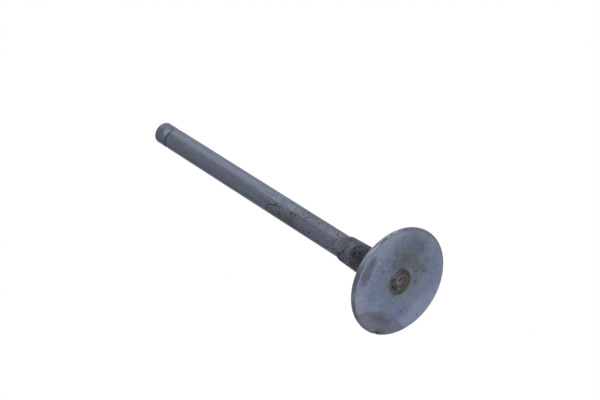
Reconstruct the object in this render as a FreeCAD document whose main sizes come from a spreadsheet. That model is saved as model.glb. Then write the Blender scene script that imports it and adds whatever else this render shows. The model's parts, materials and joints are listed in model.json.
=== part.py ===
import FreeCAD, Part
import os
import Sketcher

# Engine poppet valve, forged and turned in one piece, standing on its combustion face.
# Millimetres. The origin is the centre of the combustion face, and +Z runs up the stem to the tip.

# Driving dimensions: name, value, what it measures. Heights start at the combustion face.
SIZES = [
    ("head_diameter", 32.6, "outside of the margin"),
    ("stem_diameter", 7.0, "ground length that runs in the guide"),
    ("overall_length", 121.3, "combustion face to tip"),
    ("margin_height", 1.0, "combustion face to the foot of the seat face"),
    ("face_chamfer", 0.65, "broken edge between combustion face and margin"),
    ("seat_width", 1.5, "seat face, measured along the radius"),
    ("seat_angle", 45.0, "degrees between seat face and combustion face"),
    ("relief_angle", 20.0, "degrees of slope on the back of the head"),
    ("underhead_radius", 12.0, "tulip curve between the back of the head and the neck"),
    ("neck_root_diameter", 9.1, "neck, carried down to the back of the head"),
    ("neck_top_diameter", 7.9, "neck, just below the shoulder"),
    ("neck_top_height", 24.0, "top of the tapered neck"),
    ("shoulder_length", 1.4, "bevel from the neck in to the ground stem"),
    ("groove_to_tip", 5.4, "tip to the middle of the keeper groove"),
    ("groove_width", 2.3, "keeper groove at the stem's surface"),
    ("groove_depth", 0.6, "keeper groove below the stem's surface"),
    ("groove_edge_radius", 0.15, "rolled edges of the keeper groove"),
    ("tip_chamfer", 0.15, "broken edge of the tip"),
    ("recess_rim_diameter", 7.6, "worn bevel round the centre recess"),
    ("recess_rim_depth", 0.12, "height of that bevel"),
    ("recess_mouth_diameter", 5.4, "centre recess below its bevel"),
    ("recess_floor_diameter", 4.4, "floor of the centre recess"),
    ("recess_depth", 0.55, "floor of the centre recess above the combustion face"),
    ("recess_corner_radius", 0.3, "corner between wall and floor of the centre recess"),
]

MATCH = 1e-4  # how closely an edge has to lie on the ring it is looked up by


def fill_sheet(doc):
    sheet = doc.addObject("Spreadsheet::Sheet", "Sizes")
    for row, (alias, value, note) in enumerate(SIZES, start=1):
        sheet.set(f"A{row}", alias)
        sheet.set(f"B{row}", str(value))
        sheet.setAlias(f"B{row}", alias)
        sheet.set(f"C{row}", note)
    doc.recompute()
    return sheet


def read(sheet, expression):
    return float(sheet.evalExpression(expression))


def half_section(body, name):
    # A sketch on the plane through the valve's axis: across is radius, up is height.
    sketch = body.newObject("Sketcher::SketchObject", name)
    plane = next(item for item in body.Origin.OriginFeatures if item.Role == "XZ_Plane")
    sketch.AttachmentSupport = [(plane, "")]
    sketch.MapMode = "FlatFace"
    return sketch


def dimension(sketch, kind, name, where, expression, value):
    sketch.addConstraint(Sketcher.Constraint(kind, *where, value))
    sketch.renameConstraint(sketch.ConstraintCount - 1, name)
    sketch.setExpression(f"Constraints.{name}", expression)


def draw_outline(sketch, sheet, corners):
    # Closed outline of straight lines. Each corner is a name, a radius and a height; None is zero.
    values = [(read(sheet, radius or "0"), read(sheet, height or "0")) for _, radius, height in corners]
    points = [FreeCAD.Vector(radius, height, 0) for radius, height in values]
    for start, end in zip(points, points[1:] + points[:1]):
        sketch.addGeometry(Part.LineSegment(start, end))
    for line in range(len(points)):
        sketch.addConstraint(Sketcher.Constraint("Coincident", line, 2, (line + 1) % len(points), 1))
    for line, ((name, radius, height), (across, up)) in enumerate(zip(corners, values)):
        if radius:
            dimension(sketch, "DistanceX", f"{name}_radius", (-1, 1, line, 1), radius, across)
        else:
            sketch.addConstraint(Sketcher.Constraint("PointOnObject", line, 1, -2))
        if height:
            dimension(sketch, "DistanceY", f"{name}_height", (-1, 1, line, 1), height, up)
        else:
            sketch.addConstraint(Sketcher.Constraint("PointOnObject", line, 1, -1))


def turn(body, kind, name, sketch):
    feature = body.newObject(kind, name)
    feature.Profile = sketch
    feature.ReferenceAxis = (sketch, ["V_Axis"])
    feature.Angle = 360
    sketch.Visibility = False
    body.Document.recompute()
    return feature


def ring_edges(feature, radius, height):
    # Names of the round edges that lie at this radius and height.
    names = []
    for number, edge in enumerate(feature.Shape.Edges, start=1):
        curve = edge.Curve
        round_edge = isinstance(curve, Part.Circle) and edge.isClosed()
        if round_edge and abs(curve.Radius - radius) < MATCH and abs(curve.Center.z - height) < MATCH:
            names.append(f"Edge{number}")
    if not names:
        raise RuntimeError(f"{feature.Label}: no round edge at radius {radius:.3f}, height {height:.3f}")
    return names


def break_edge(body, kind, name, base, edges, expression):
    feature = body.newObject(kind, name)
    feature.Base = (base, edges)
    feature.setExpression("Size" if kind == "PartDesign::Chamfer" else "Radius", expression)
    body.Document.recompute()
    return feature


def turn_blank(body, sheet):
    # The whole valve in outline, from the centre of the face out to the rim and back up to the tip.
    rim = "Sizes.head_diameter / 2"
    seat_top = "Sizes.head_diameter / 2 - Sizes.seat_width"
    seat_top_height = "Sizes.margin_height + Sizes.seat_width * tan(Sizes.seat_angle * 1 deg)"
    root = "Sizes.neck_root_diameter / 2"
    root_height = f"{seat_top_height} + ({seat_top} - {root}) * tan(Sizes.relief_angle * 1 deg)"
    stem = "Sizes.stem_diameter / 2"
    sketch = half_section(body, "BlankOutline")
    draw_outline(sketch, sheet, [
        ("face_centre", None, None),
        ("face_edge", rim, None),
        ("margin_top", rim, "Sizes.margin_height"),
        ("seat_top", seat_top, seat_top_height),
        ("neck_root", root, root_height),
        ("neck_top", "Sizes.neck_top_diameter / 2", "Sizes.neck_top_height"),
        ("stem_start", stem, "Sizes.neck_top_height + Sizes.shoulder_length"),
        ("tip_edge", stem, "Sizes.overall_length"),
        ("tip_centre", None, "Sizes.overall_length"),
    ])
    blank = turn(body, "PartDesign::Revolution", "Blank", sketch)

    # The tulip curve stays on the back of the head and below the shoulder, whatever its radius.
    half_corner = "(45 deg + Sizes.relief_angle * 0.5 deg)"
    head_room = f"({seat_top} - {root}) / cos(Sizes.relief_angle * 1 deg)"
    neck_room = f"Sizes.neck_top_height - ({root_height})"
    radius = f"min(Sizes.underhead_radius; 0.9 * tan({half_corner}) * min({head_room}; {neck_room}))"
    corner = ring_edges(blank, read(sheet, root), read(sheet, root_height))
    return break_edge(body, "PartDesign::Fillet", "UnderheadCurve", blank, corner, radius)


def cut_keeper_groove(body, sheet, base):
    # Round-bottomed groove for the keepers: a ring of circular section let into the stem.
    section = "(Sizes.groove_width ^ 2 / 4 + Sizes.groove_depth ^ 2) / (2 * Sizes.groove_depth)"
    centre = f"Sizes.stem_diameter / 2 - Sizes.groove_depth + {section}"
    height = "Sizes.overall_length - Sizes.groove_to_tip"
    across, up, bite = read(sheet, centre), read(sheet, height), read(sheet, section)
    sketch = half_section(body, "KeeperGrooveSection")
    sketch.addGeometry(Part.Circle(FreeCAD.Vector(across, up, 0), FreeCAD.Vector(0, 0, 1), bite))
    dimension(sketch, "DistanceX", "section_centre", (-1, 1, 0, 3), centre, across)
    dimension(sketch, "DistanceY", "section_height", (-1, 1, 0, 3), height, up)
    dimension(sketch, "Radius", "section_radius", (0,), section, bite)
    groove = turn(body, "PartDesign::Groove", "KeeperGroove", sketch)

    stem_radius = read(sheet, "Sizes.stem_diameter / 2")
    half_width = read(sheet, "Sizes.groove_width / 2")
    edges = ring_edges(groove, stem_radius, up - half_width) + ring_edges(groove, stem_radius, up + half_width)
    return groove, break_edge(body, "PartDesign::Fillet", "GrooveEdges", groove, edges, "Sizes.groove_edge_radius")


def cut_centre_recess(body, sheet):
    # Shallow recess in the middle of the combustion face, with a worn bevel round its mouth.
    sketch = half_section(body, "CentreRecessOutline")
    draw_outline(sketch, sheet, [
        ("centre", None, None),
        ("rim", "Sizes.recess_rim_diameter / 2", None),
        ("mouth", "Sizes.recess_mouth_diameter / 2", "Sizes.recess_rim_depth"),
        ("floor_edge", "Sizes.recess_floor_diameter / 2", "Sizes.recess_depth"),
        ("floor_centre", None, "Sizes.recess_depth"),
    ])
    recess = turn(body, "PartDesign::Groove", "CentreRecess", sketch)
    corner = ring_edges(recess, read(sheet, "Sizes.recess_floor_diameter / 2"), read(sheet, "Sizes.recess_depth"))
    return recess, break_edge(
        body, "PartDesign::Fillet", "RecessCorner", recess, corner, "Sizes.recess_corner_radius")


def build_valve(doc, sheet):
    body = doc.addObject("PartDesign::Body", "Valve")
    body.Label = "valve"
    body.Placement = FreeCAD.Placement()
    forging = turn_blank(body, sheet)
    groove, stem_end = cut_keeper_groove(body, sheet, forging)
    recess, face = cut_centre_recess(body, sheet)
    for before, cut in ((forging, groove), (stem_end, recess)):
        if cut.Shape.Volume >= before.Shape.Volume - MATCH:
            raise RuntimeError(f"{cut.Label} takes no material away")

    face_edge = ring_edges(face, read(sheet, "Sizes.head_diameter / 2"), 0)
    face = break_edge(body, "PartDesign::Chamfer", "FaceChamfer", face, face_edge, "Sizes.face_chamfer")
    tip_edge = ring_edges(face, read(sheet, "Sizes.stem_diameter / 2"), read(sheet, "Sizes.overall_length"))
    break_edge(body, "PartDesign::Chamfer", "TipChamfer", face, tip_edge, "Sizes.tip_chamfer")
    return body


def check_document(doc, bodies):
    for item in doc.Objects:
        if "Invalid" in item.State or "Error" in item.State:
            raise RuntimeError(f"{item.Label} failed: {item.State}")
    for body in bodies:
        if body.Shape.isNull() or not body.Shape.isValid() or len(body.Shape.Solids) != 1:
            raise RuntimeError(f"{body.Label} is not one valid solid")


def main():
    doc = FreeCAD.newDocument("EngineValve")
    sheet = fill_sheet(doc)
    bodies = [build_valve(doc, sheet)]
    doc.recompute()
    check_document(doc, bodies)
    os.makedirs("parts", exist_ok=True)
    for body in bodies:
        body.Shape.exportStep(os.path.join("parts", f"{body.Label}.step"))
        box = body.Shape.BoundBox
        print(f"{body.Label}: {body.Shape.Volume:.1f} mm3, {box.XLength:.2f} x {box.YLength:.2f} x {box.ZLength:.2f} mm")


main()
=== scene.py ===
import json
import math

import bpy
from mathutils import Matrix, Vector


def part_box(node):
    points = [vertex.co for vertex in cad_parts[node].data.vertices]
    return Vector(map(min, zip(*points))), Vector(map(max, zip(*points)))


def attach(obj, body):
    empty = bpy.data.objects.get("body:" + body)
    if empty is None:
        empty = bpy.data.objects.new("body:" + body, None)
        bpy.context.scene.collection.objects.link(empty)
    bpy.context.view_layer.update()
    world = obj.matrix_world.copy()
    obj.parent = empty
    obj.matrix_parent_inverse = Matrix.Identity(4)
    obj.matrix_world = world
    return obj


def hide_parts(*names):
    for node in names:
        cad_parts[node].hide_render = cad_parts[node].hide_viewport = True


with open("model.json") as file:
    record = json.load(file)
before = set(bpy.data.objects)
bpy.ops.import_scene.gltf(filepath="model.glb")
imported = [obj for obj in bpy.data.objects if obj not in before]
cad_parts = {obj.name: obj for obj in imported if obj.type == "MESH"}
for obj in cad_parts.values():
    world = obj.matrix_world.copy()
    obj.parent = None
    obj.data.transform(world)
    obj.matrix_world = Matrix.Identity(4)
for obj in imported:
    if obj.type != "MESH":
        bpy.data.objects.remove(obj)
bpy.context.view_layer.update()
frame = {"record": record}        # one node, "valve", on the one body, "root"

# A used engine exhaust valve. It stands on its combustion face, and +Z runs up the stem.
# Lengths in the dictionaries are millimetres, and mm turns them into metres.
mm = 0.001
low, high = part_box("valve")
headRadius = (high.x - low.x) / 2 / mm
tipHeight = (high.z - low.z) / mm
stemMount = next(mount for mount in frame["record"]["mounts"] if mount["name"] == "stem")
stemRadius = stemMount["dims"]["r_mm"]
stemMiddle, stemHalf = stemMount["pos_m"][2] / mm, stemMount["dims"]["length_mm"] / 2

# Settings of nodes that come back often.
overlay = {"data_type": "RGBA"}
multiplied = {"data_type": "RGBA", "blend_type": "MULTIPLY"}
smooth = {"interpolation_type": "SMOOTHSTEP"}


# An sRGB hex colour as the linear colour that a node takes.
def linear(hexColour):
    parts = [int(hexColour[i:i + 2], 16) / 255 for i in (1, 3, 5)]
    return [c / 12.92 if c <= 0.04045 else ((c + 0.055) / 1.055) ** 2.4 for c in parts] + [1.0]


# Adds a node. Inputs go by name or number, and a node given as a value passes its first live output.
# Stops are the places and hex colours of a colour ramp.
def add(tree, kind, inputs=(), stops=(), **settings):
    node = tree.nodes.new(kind)
    for name, value in settings.items():
        setattr(node, name, value)
    for name, value in dict(inputs).items():
        if isinstance(name, int):
            socket = node.inputs[name]
        else:
            socket = next(s for s in node.inputs if s.enabled and s.name == name)
        if isinstance(value, bpy.types.Node):
            value = next(s for s in value.outputs if s.enabled)
        if isinstance(value, bpy.types.NodeSocket):
            tree.links.new(value, socket)
        else:
            socket.default_value = value
    for place, (position, shade) in enumerate(stops):
        elements = node.color_ramp.elements
        element = elements[place] if place < len(elements) else elements.new(position)
        element.position, element.color = position, linear(shade)
    return node


# What a Map Range takes for a zone: where it starts, where it is full, its level there and at its start.
def zone(value, start, full, level=1.0, base=0.0):
    return {"Value": value, "From Min": start, "From Max": full, "To Min": base, "To Max": level}


# The place in parts, laid flat on the face, and its distance from the axis.
def fromAxis(tree, place):
    parts = add(tree, "ShaderNodeSeparateXYZ", {"Vector": place}).outputs
    flat = add(tree, "ShaderNodeCombineXYZ", {"X": parts["X"], "Y": parts["Y"]})
    return parts, flat, add(tree, "ShaderNodeVectorMath", {0: flat}, operation="LENGTH").outputs["Value"]


# The turned valve. Its outer sizes come from the CAD part, and these are the ones between them.
shape = {
    "faceChamfer": 0.65, "marginHeight": 1.0, "seatWidth": 1.5, "seatAngle": 45, "reliefAngle": 20,
    "underheadRadius": 12, "neckRootRadius": 4.55, "neckTopRadius": 3.95, "neckTopHeight": 24.0,
    "grooveWidth": 2.3, "grooveDepth": 0.6, "grooveLip": 0.15, "lipRounding": 0.09, "grooveRings": 12,
    "recessRim": 3.8, "recessRimDepth": 0.12, "recessMouth": 2.7, "recessFloor": 2.2, "recessDepth": 0.55,
    "tipChamfer": 0.15,
    "turns": 192,         # flats round the axis
    "hub": 10,            # radius of the circle that carries the outline round
    "hold": 0.08,         # a ring this close to each bend keeps the run beside it straight
    "holdRun": 0.56,      # shortest run that gets such rings
    "longRun": 20, "longStride": 0.42,    # from this length on, a run has its rings this far apart
    "faceReach": 0.1,     # how far past the margin the finish of the face goes
    # carbon on neck and head: relief, grain, where it begins, is full and ends on the way down, and its fade
    "crustDepth": 0.1, "crustGrain": 1.5, "crustTop": 24.5, "crustFull": 17.0,
    "crustFoot": 2.7, "crustFade": 1.5,
    "crustNoise": {"Detail": 4, "Roughness": 0.6}, "crustSpan": (0.35, 0.72),
    # scale on the floor of the recess: relief and grain, with more of it raised than sunk
    "lumpDepth": 0.22, "lumpGrain": 1.1,
    "lumpNoise": {"Detail": 3, "Roughness": 0.55}, "lumpSpan": (0.3, 0.7, 0.8, -0.5),
    "weld": 0.002,        # points as close as this become one
    "seed": 7,
}


# Rounds a corner of the outline with an arc, its points about one step apart.
def turnCorner(before, corner, after, rounding, step):
    back, ahead = (before - corner).normalized(), (after - corner).normalized()
    half = back.angle(ahead) / 2
    start = corner + back * rounding / math.tan(half)
    centre = corner + (back + ahead).normalized() * rounding / math.sin(half)
    sweep = (math.pi - 2 * half) * (1 if back.x * ahead.y - back.y * ahead.x < 0 else -1)
    count = max(2, round(abs(sweep) * rounding / step))
    return [centre + Matrix.Rotation(sweep * i / count, 2) @ (start - centre) for i in range(count + 1)]


# The groove is an arc: its radius, half its sweep and the height of its middle.
def keeperGroove():
    s = shape
    bite = (s["grooveWidth"] ** 2 / 4 + s["grooveDepth"] ** 2) / (2 * s["grooveDepth"])
    halfArc = math.asin(s["grooveWidth"] / 2 / bite)
    foot = stemMiddle + stemHalf + s["grooveLip"] * math.tan(halfArc / 2)
    return bite, halfArc, foot + s["grooveWidth"] / 2


# Half section from the floor of the recess, round the rim and up to the tip.
# A corner is a radius, a height, its rounding and the spacing of the rings round it.
def outlinePoints():
    s = shape
    seatTop = headRadius - s["seatWidth"]
    seatTopHeight = s["marginHeight"] + s["seatWidth"] * math.tan(math.radians(s["seatAngle"]))
    rootHeight = seatTopHeight + (seatTop - s["neckRootRadius"]) * math.tan(math.radians(s["reliefAngle"]))

    bite, halfArc, grooveHeight = keeperGroove()
    biteCentre = stemRadius - s["grooveDepth"] + bite
    rings = s["grooveRings"]
    groove = []
    for i in range(rings + 1):
        angle = halfArc * (2 * i / rings - 1)
        across, up = biteCentre - bite * math.cos(angle), grooveHeight + bite * math.sin(angle)
        groove.append((across, up, s["lipRounding"] if i in (0, rings) else 0, 0.1))

    corners = [
        (0, s["recessDepth"], 0, 0),
        (s["recessFloor"], s["recessDepth"], 0.2, 0.1),
        (s["recessMouth"], s["recessRimDepth"], 0.2, 0.1),
        (s["recessRim"], 0, 0.5, 0.12),
        (headRadius - s["faceChamfer"], 0, 0.2, 0.4),
        (headRadius, s["faceChamfer"], 0.15, 0.1),
        (headRadius, s["marginHeight"], 0.08, 0.1),
        (seatTop, seatTopHeight, 0.2, 0.2),
        (s["neckRootRadius"], rootHeight, s["underheadRadius"], 0.28),
        (s["neckTopRadius"], s["neckTopHeight"], 2.0, 0.22),
        (stemRadius, stemMiddle - stemHalf, 1.2, 0.12),
        *groove,
        (stemRadius, tipHeight - s["tipChamfer"], 0.1, 0.4),
        (stemRadius - s["tipChamfer"], tipHeight, 0.1, 0.1),
        (0, tipHeight, 0, 0.35),
    ]
    points = [Vector(corners[0][:2])]
    for before, corner, after in zip(corners, corners[1:], corners[2:] + [None]):
        here, rounding, step = Vector(corner[:2]), corner[2], corner[3]
        arc = turnCorner(Vector(before[:2]), here, Vector(after[:2]), rounding, step) if rounding else [here]
        last = points[-1]
        run = (arc[0] - last).length
        stride = s["longStride"] if run > s["longRun"] else step
        count = max(1, round(run / stride))
        shares = [i / count for i in range(1, count)]
        if run > s["holdRun"]:
            near = s["hold"] / run
            shares = [near] + [share for share in shares if near < share < 1 - near] + [1 - near]
        points += [last.lerp(arc[0], share) for share in shares] + arc
    return points


# Turns the outline about the axis, then lays carbon on the neck and lumps on the floor of the recess.
def buildLathe():
    tree = bpy.data.node_groups.new("turnedValve", "GeometryNodeTree")
    tree.interface.new_socket("Outline", in_out="INPUT", socket_type="NodeSocketGeometry")
    tree.interface.new_socket("Valve", in_out="OUTPUT", socket_type="NodeSocketGeometry")
    sizes = ("Seed", "Hub", "Face limit", "Crust depth", "Crust grain", "Crust top", "Crust full",
             "Crust foot", "Crust fade", "Lump depth", "Lump grain", "Lump reach")
    kinds = {"Turns": "NodeSocketInt", **dict.fromkeys(sizes, "NodeSocketFloat"),
             "Face finish": "NodeSocketMaterial", "Stem finish": "NodeSocketMaterial"}
    for name, kind in kinds.items():
        tree.interface.new_socket(name, in_out="INPUT", socket_type=kind)
    given = add(tree, "NodeGroupInput").outputs

    # The outline is moved in by the hub's radius, which the circle that carries it adds again.
    inwards = add(tree, "ShaderNodeMath", {0: given["Hub"], 1: -1}, operation="MULTIPLY")
    shift = add(tree, "ShaderNodeCombineXYZ", {"X": inwards})
    profile = add(tree, "GeometryNodeMeshToCurve", {"Mesh": given["Outline"]})
    moved = add(tree, "GeometryNodeTransform", {"Geometry": profile, "Translation": shift})
    circle = add(tree, "GeometryNodeCurvePrimitiveCircle",
                 {"Resolution": given["Turns"], "Radius": given["Hub"]})
    swept = add(tree, "GeometryNodeCurveToMesh", {"Curve": circle, "Profile Curve": moved})
    outwards = add(tree, "GeometryNodeFlipFaces", {"Mesh": swept})
    closed = add(tree, "GeometryNodeMergeByDistance", {"Geometry": outwards, "Distance": shape["weld"] * mm})
    position = add(tree, "GeometryNodeInputPosition")
    parts, _, radius = fromAxis(tree, position)

    # Carbon: full on the back of the head and the foot of the neck, then thinner up to the bevel.
    up = add(tree, "ShaderNodeMapRange", zone(parts["Z"], given["Crust top"], given["Crust full"]), **smooth)
    footEnd = add(tree, "ShaderNodeMath", {0: given["Crust foot"], 1: given["Crust fade"]}, operation="ADD")
    down = add(tree, "ShaderNodeMapRange", zone(parts["Z"], given["Crust foot"], footEnd), **smooth)
    where = add(tree, "ShaderNodeMath", {0: up, 1: down}, operation="MULTIPLY")
    crustScale = add(tree, "ShaderNodeMath", {0: 1, 1: given["Crust grain"]}, operation="DIVIDE")
    grain = add(tree, "ShaderNodeTexNoise", {"Vector": position, "W": given["Seed"], "Scale": crustScale,
                **shape["crustNoise"]}, noise_dimensions="4D")
    crust = add(tree, "ShaderNodeMapRange", zone(grain, *shape["crustSpan"]))
    crustHere = add(tree, "ShaderNodeMath", {0: crust, 1: where}, operation="MULTIPLY")
    crustRise = add(tree, "ShaderNodeMath", {0: crustHere, 1: given["Crust depth"]}, operation="MULTIPLY")

    # Lumps: only inside the recess.
    inside = add(tree, "ShaderNodeMapRange", zone(radius, given["Lump reach"], 0.0), **smooth)
    below = add(tree, "FunctionNodeCompare", {"A": parts["Z"], "B": given["Face limit"]},
                operation="LESS_THAN")
    lumpScale = add(tree, "ShaderNodeMath", {0: 1, 1: given["Lump grain"]}, operation="DIVIDE")
    lumps = add(tree, "ShaderNodeTexNoise", {"Vector": position, "W": given["Seed"], "Scale": lumpScale,
                **shape["lumpNoise"]}, noise_dimensions="4D")
    lumpField = add(tree, "ShaderNodeMapRange", zone(lumps, *shape["lumpSpan"]))
    lumpInside = add(tree, "ShaderNodeMath", {0: lumpField, 1: inside}, operation="MULTIPLY")
    lumpHere = add(tree, "ShaderNodeMath", {0: lumpInside, 1: below}, operation="MULTIPLY")
    lumpRise = add(tree, "ShaderNodeMath", {0: lumpHere, 1: given["Lump depth"]}, operation="MULTIPLY")

    # Both push the surface out, and the finish of the face reads the lumps.
    marked = add(tree, "GeometryNodeStoreNamedAttribute",
                 {"Geometry": closed, "Name": "lump", "Value": lumpHere}, data_type="FLOAT", domain="POINT")
    rise = add(tree, "ShaderNodeMath", {0: crustRise, 1: lumpRise}, operation="ADD")
    normal = add(tree, "GeometryNodeInputNormal")
    offset = add(tree, "ShaderNodeVectorMath", {0: normal, "Scale": rise}, operation="SCALE")
    raised = add(tree, "GeometryNodeSetPosition", {"Geometry": marked, "Offset": offset})
    shaded = add(tree, "GeometryNodeSetShadeSmooth", {"Geometry": raised})
    real = add(tree, "GeometryNodeRealizeInstances", {"Geometry": shaded})
    whole = add(tree, "GeometryNodeSetMaterial", {"Geometry": real, "Material": given["Stem finish"]})
    faced = add(tree, "GeometryNodeSetMaterial", {"Geometry": whole, "Selection": below,
                "Material": given["Face finish"]})
    add(tree, "NodeGroupOutput", {"Valve": faced})
    return tree


# The tree makes the piece, which is then kept as a plain mesh.
def turnValve(faceFinish, stemFinish):
    outline = bpy.data.meshes.new("valveOutline")
    points = [(point.x * mm, -point.y * mm, 0) for point in outlinePoints()]
    outline.from_pydata(points, [(i, i + 1) for i in range(len(points) - 1)], [])
    piece = bpy.data.objects.new("valveTurned", outline)
    bpy.context.scene.collection.objects.link(piece)
    tree = buildLathe()
    modifier = piece.modifiers.new("lathe", "NODES")
    modifier.node_group = tree
    s = shape
    lengths = {
        "Hub": s["hub"], "Face limit": s["marginHeight"] + s["faceReach"],
        "Crust depth": s["crustDepth"], "Crust grain": s["crustGrain"], "Crust top": s["crustTop"],
        "Crust full": s["crustFull"], "Crust foot": s["crustFoot"], "Crust fade": s["crustFade"],
        "Lump depth": s["lumpDepth"], "Lump grain": s["lumpGrain"], "Lump reach": s["recessMouth"],
    }
    values = {name: length * mm for name, length in lengths.items()}
    values |= {"Turns": s["turns"], "Seed": s["seed"], "Face finish": faceFinish, "Stem finish": stemFinish}
    for socket in tree.interface.items_tree:
        if socket.name in values:
            modifier[socket.identifier] = values[socket.name]
    made = piece.evaluated_get(bpy.context.evaluated_depsgraph_get())
    mesh = bpy.data.meshes.new_from_object(made)
    piece.modifiers.clear()
    piece.data = mesh
    volume = sum(face.normal.dot(face.center) * face.area for face in mesh.polygons) / 3
    print("valve turned:", len(mesh.polygons), "faces", round(volume / mm ** 3), "cubic mm")
    return piece


# Dents and scars: azimuth in degrees from -Y towards +X, height, radius from the axis, reach, depth.
scars = {
    "dents": [
        (-101.5, 0.35, 16.0, 1.1, 0.22), (-96, 0.3, 15.9, 0.7, 0.12), (55, 0.4, 16.1, 0.5, 0.1),
        (48, 0.4, 16.1, 0.5, 0.08), (38, 0.4, 16.1, 0.6, 0.08), (140, 0.8, 16.3, 0.9, 0.12),
        (0, 48, 3.5, 0.45, 0.12), (27, 40.7, 3.5, 0.6, 0.07), (-35, 37.9, 3.5, 0.45, 0.07),
        (-35, 82.5, 3.5, 0.4, 0.05), (12, 44.2, 3.5, 0.5, 0.06), (-18, 51, 3.5, 0.35, 0.06),
    ],
}


def pressScars(piece):
    mesh = piece.data
    mark = mesh.attributes.new("scar", "FLOAT", "POINT")
    normals = [vertex.normal.copy() for vertex in mesh.vertices]
    for azimuth, height, radius, reach, depth in scars["dents"]:
        a = math.radians(azimuth)
        centre = Vector((radius * math.sin(a), -radius * math.cos(a), height)) * mm
        for vertex, normal in zip(mesh.vertices, normals):
            away = (vertex.co - centre).length / (reach * mm)
            if away < 1:
                press = (1 - away * away) ** 2
                vertex.co -= normal * depth * mm * press
                mark.data[vertex.index].value = max(mark.data[vertex.index].value, press)
    print("scars pressed:", len(scars["dents"]))


def newFinish(name):
    finish = bpy.data.materials.new(name)
    finish.use_nodes = True
    finish.node_tree.nodes.clear()
    return finish, finish.node_tree


noiseSpan = (0.3, 0.7)    # where nearly all of the noise lies, which grains spread from low to high


# Grains of this size in millimetres, with values from low to high.
def grains(tree, place, size, low=0.0, high=1.0, detail=3, roughness=0.5, seed=0.0):
    made = add(tree, "ShaderNodeTexNoise", {"Vector": place, "W": seed, "Scale": 1 / size, "Detail": detail,
               "Roughness": roughness}, noise_dimensions="4D")
    return add(tree, "ShaderNodeMapRange", zone(made, *noiseSpan, high, low))


# The same place, pushed about by grains of this size, so that edges wander this far.
def wander(tree, place, size, reach):
    wobble = add(tree, "ShaderNodeTexNoise", {"Vector": place, "Scale": 1 / size, "Detail": 3})
    centred = add(tree, "ShaderNodeVectorMath", {0: wobble.outputs["Color"], 1: (0.5, 0.5, 0.5)},
                  operation="SUBTRACT")
    pushed = add(tree, "ShaderNodeVectorMath", {0: centred, "Scale": reach * 2}, operation="SCALE")
    return add(tree, "ShaderNodeVectorMath", {0: place, 1: pushed}, operation="ADD")


# Where a stain lies, from 0 to its strength. It has a middle, half sizes, turns in degrees, softness and
# strength, and the grain frays its edge.
def cover(tree, place, grain, at, half, turns, soft, strength):
    edge = 1.5    # the half sizes reach to 1, and the grain adds 0.5 on average
    local = add(tree, "ShaderNodeMapping", {"Vector": place, "Location": at, "Scale": half,
                "Rotation": [math.radians(turn) for turn in turns]}, vector_type="TEXTURE")
    reach = add(tree, "ShaderNodeVectorMath", {0: local}, operation="LENGTH")
    frayed = add(tree, "ShaderNodeMath", {0: reach, 1: grain}, operation="ADD")
    return add(tree, "ShaderNodeMapRange", zone(frayed, edge + soft, edge - soft, strength), **smooth)


# Lays a stain of its own colour over what lies under it.
def stain(tree, place, under, grain, spot):
    where = cover(tree, place, grain, *spot[:-1])
    return add(tree, "ShaderNodeMix", {"Factor": where, "A": under, "B": linear(spot[-1])}, **overlay)


# Lets a colour swing between two tints, in grains.
def swing(tree, place, under, oneTint, otherTint, *grain):
    between = grains(tree, place, *grain)
    tint = add(tree, "ShaderNodeMix", {"Factor": between, "A": linear(oneTint), "B": linear(otherTint)},
               **overlay)
    return add(tree, "ShaderNodeMix", {"Factor": 1.0, "A": under, "B": tint}, **multiplied)


# Makes a colour lighter and darker by a sum of grains. The share says how much of that shows, and where.
def unevenly(tree, under, total, span, reach, share):
    level = add(tree, "ShaderNodeMapRange", zone(total, 0, span, reach, -reach))
    here = add(tree, "ShaderNodeMath", {0: level, 1: share, 2: 1.0}, operation="MULTIPLY_ADD")
    return add(tree, "ShaderNodeMix", {"Factor": 1.0, "A": under, "B": here}, **multiplied)


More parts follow.
